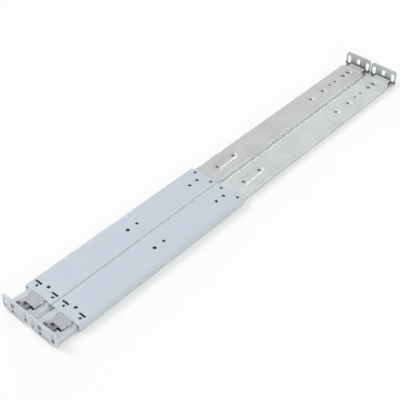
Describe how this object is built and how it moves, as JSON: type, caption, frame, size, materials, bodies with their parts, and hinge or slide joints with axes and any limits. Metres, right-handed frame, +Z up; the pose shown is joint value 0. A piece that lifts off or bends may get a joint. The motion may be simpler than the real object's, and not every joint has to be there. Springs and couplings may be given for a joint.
{
  "type": "sliding server rail pair",
  "caption": "Two identical telescoping ball-slide rack rails lying side by side: hemmed front sleeve, sliding rear bracket, slotted end flanges, sprung latches, nested slide members.",
  "frame": {"origin": "middle of the pair's bounding box in X and Y, on the surface the rails lie on", "axes": "+X along the rails from the front flanges to the rear flanges, +Y towards the left rail, +Z up out of the rails' outer faces"},
  "size_m": [0.655, 0.086, 0.0233],
  "materials": {
    "blue_zinc": "blue zinc plate, satin",
    "zinc_plate": "brushed zinc plate",
    "latch_zinc": "zinc plate, slightly darker",
    "slide_steel": "cold-rolled, zinc plated",
    "cage_steel": "thin passivated strip",
    "ball_steel": "polished",
    "spring_steel": "spring strip",
    "hardware": "zinc plated",
    "nylon": "moulded",
    "release_plastic": "moulded"
  },
  "bodies": {
    "rack_frames": {"left_front_sleeve": "blue_zinc", "left_front_bracket": "zinc_plate", "left_front_flange": "zinc_plate", "left_flange_rivets": "hardware", "left_sleeve_rivets": "hardware", "left_race_rivets": "hardware", "left_latch_pin": "hardware", "left_latch_spring": "spring_steel", "left_outer_race": "slide_steel", "left_race_bumper": "nylon", "right_front_sleeve": "blue_zinc", "right_front_bracket": "zinc_plate", "right_front_flange": "zinc_plate", "right_flange_rivets": "hardware", "right_sleeve_rivets": "hardware", "right_race_rivets": "hardware", "right_latch_pin": "hardware", "right_latch_spring": "spring_steel", "right_outer_race": "slide_steel", "right_race_bumper": "nylon"},
    "left_rear": {"left_rear_bracket": "zinc_plate", "left_rear_flange": "zinc_plate", "left_rear_screws": "hardware"},
    "left_latch": {"left_latch_lever": "latch_zinc"},
    "left_cage": {"left_ball_cage": "cage_steel", "left_balls": "ball_steel"},
    "left_middle": {"left_middle_member": "slide_steel", "left_middle_glides": "nylon"},
    "left_server": {"left_server_member": "slide_steel", "left_server_glides": "nylon", "left_release_pivot": "hardware", "left_release_spring": "spring_steel"},
    "left_release": {"left_release_lever": "release_plastic"},
    "right_rear": {"right_rear_bracket": "zinc_plate", "right_rear_flange": "zinc_plate", "right_rear_screws": "hardware"},
    "right_latch": {"right_latch_lever": "latch_zinc"},
    "right_cage": {"right_ball_cage": "cage_steel", "right_balls": "ball_steel"},
    "right_middle": {"right_middle_member": "slide_steel", "right_middle_glides": "nylon"},
    "right_server": {"right_server_member": "slide_steel", "right_server_glides": "nylon", "right_release_pivot": "hardware", "right_release_spring": "spring_steel"},
    "right_release": {"right_release_lever": "release_plastic"}
  },
  "joints": [
    {"name": "left_rear_slide", "type": "slide", "parent": "rack_frames", "child": "left_rear", "axis": [1, 0, 0], "range_m": [0, 0.15]},
    {"name": "left_latch_hinge", "type": "hinge", "parent": "rack_frames", "child": "left_latch", "pos_m": [-0.3012, 0.02175, 0.0104], "axis": [0, -1, 0], "range_deg": [0, 5], "stiffness_Nm_per_rad": 0.4, "springref_deg": -5.73, "deforming": ["left_latch_spring"]},
    {"name": "left_middle_slide", "type": "slide", "parent": "rack_frames", "child": "left_middle", "axis": [-1, 0, 0], "range_m": [0, 0.23]},
    {"name": "left_cage_slide", "type": "slide", "parent": "rack_frames", "child": "left_cage", "axis": [-1, 0, 0], "range_m": [0, 0.115]},
    {"name": "left_server_slide", "type": "slide", "parent": "left_middle", "child": "left_server", "axis": [-1, 0, 0], "range_m": [0, 0.23]},
    {"name": "left_release_hinge", "type": "hinge", "parent": "left_server", "child": "left_release", "pos_m": [-0.1775, 0.02175, 0.002], "axis": [0, 0, 1], "range_deg": [0, 3.5], "stiffness_Nm_per_rad": 0.1, "springref_deg": -2.86},
    {"name": "right_rear_slide", "type": "slide", "parent": "rack_frames", "child": "right_rear", "axis": [1, 0, 0], "range_m": [0, 0.15]},
    {"name": "right_latch_hinge", "type": "hinge", "parent": "rack_frames", "child": "right_latch", "pos_m": [-0.3012, -0.02175, 0.0104], "axis": [0, -1, 0], "range_deg": [0, 5], "stiffness_Nm_per_rad": 0.4, "springref_deg": -5.73, "deforming": ["right_latch_spring"]},
    {"name": "right_middle_slide", "type": "slide", "parent": "rack_frames", "child": "right_middle", "axis": [-1, 0, 0], "range_m": [0, 0.23]},
    {"name": "right_cage_slide", "type": "slide", "parent": "rack_frames", "child": "right_cage", "axis": [-1, 0, 0], "range_m": [0, 0.115]},
    {"name": "right_server_slide", "type": "slide", "parent": "right_middle", "child": "right_server", "axis": [-1, 0, 0], "range_m": [0, 0.23]},
    {"name": "right_release_hinge", "type": "hinge", "parent": "right_server", "child": "right_release", "pos_m": [-0.1775, -0.02175, 0.002], "axis": [0, 0, 1], "range_deg": [0, 3.5], "stiffness_Nm_per_rad": 0.1, "springref_deg": -2.86}
  ],
  "couplings": [
    {"joint": "left_cage_slide", "follows": "left_middle_slide", "ratio": 0.5},
    {"joint": "right_cage_slide", "follows": "right_middle_slide", "ratio": 0.5}
  ]
}
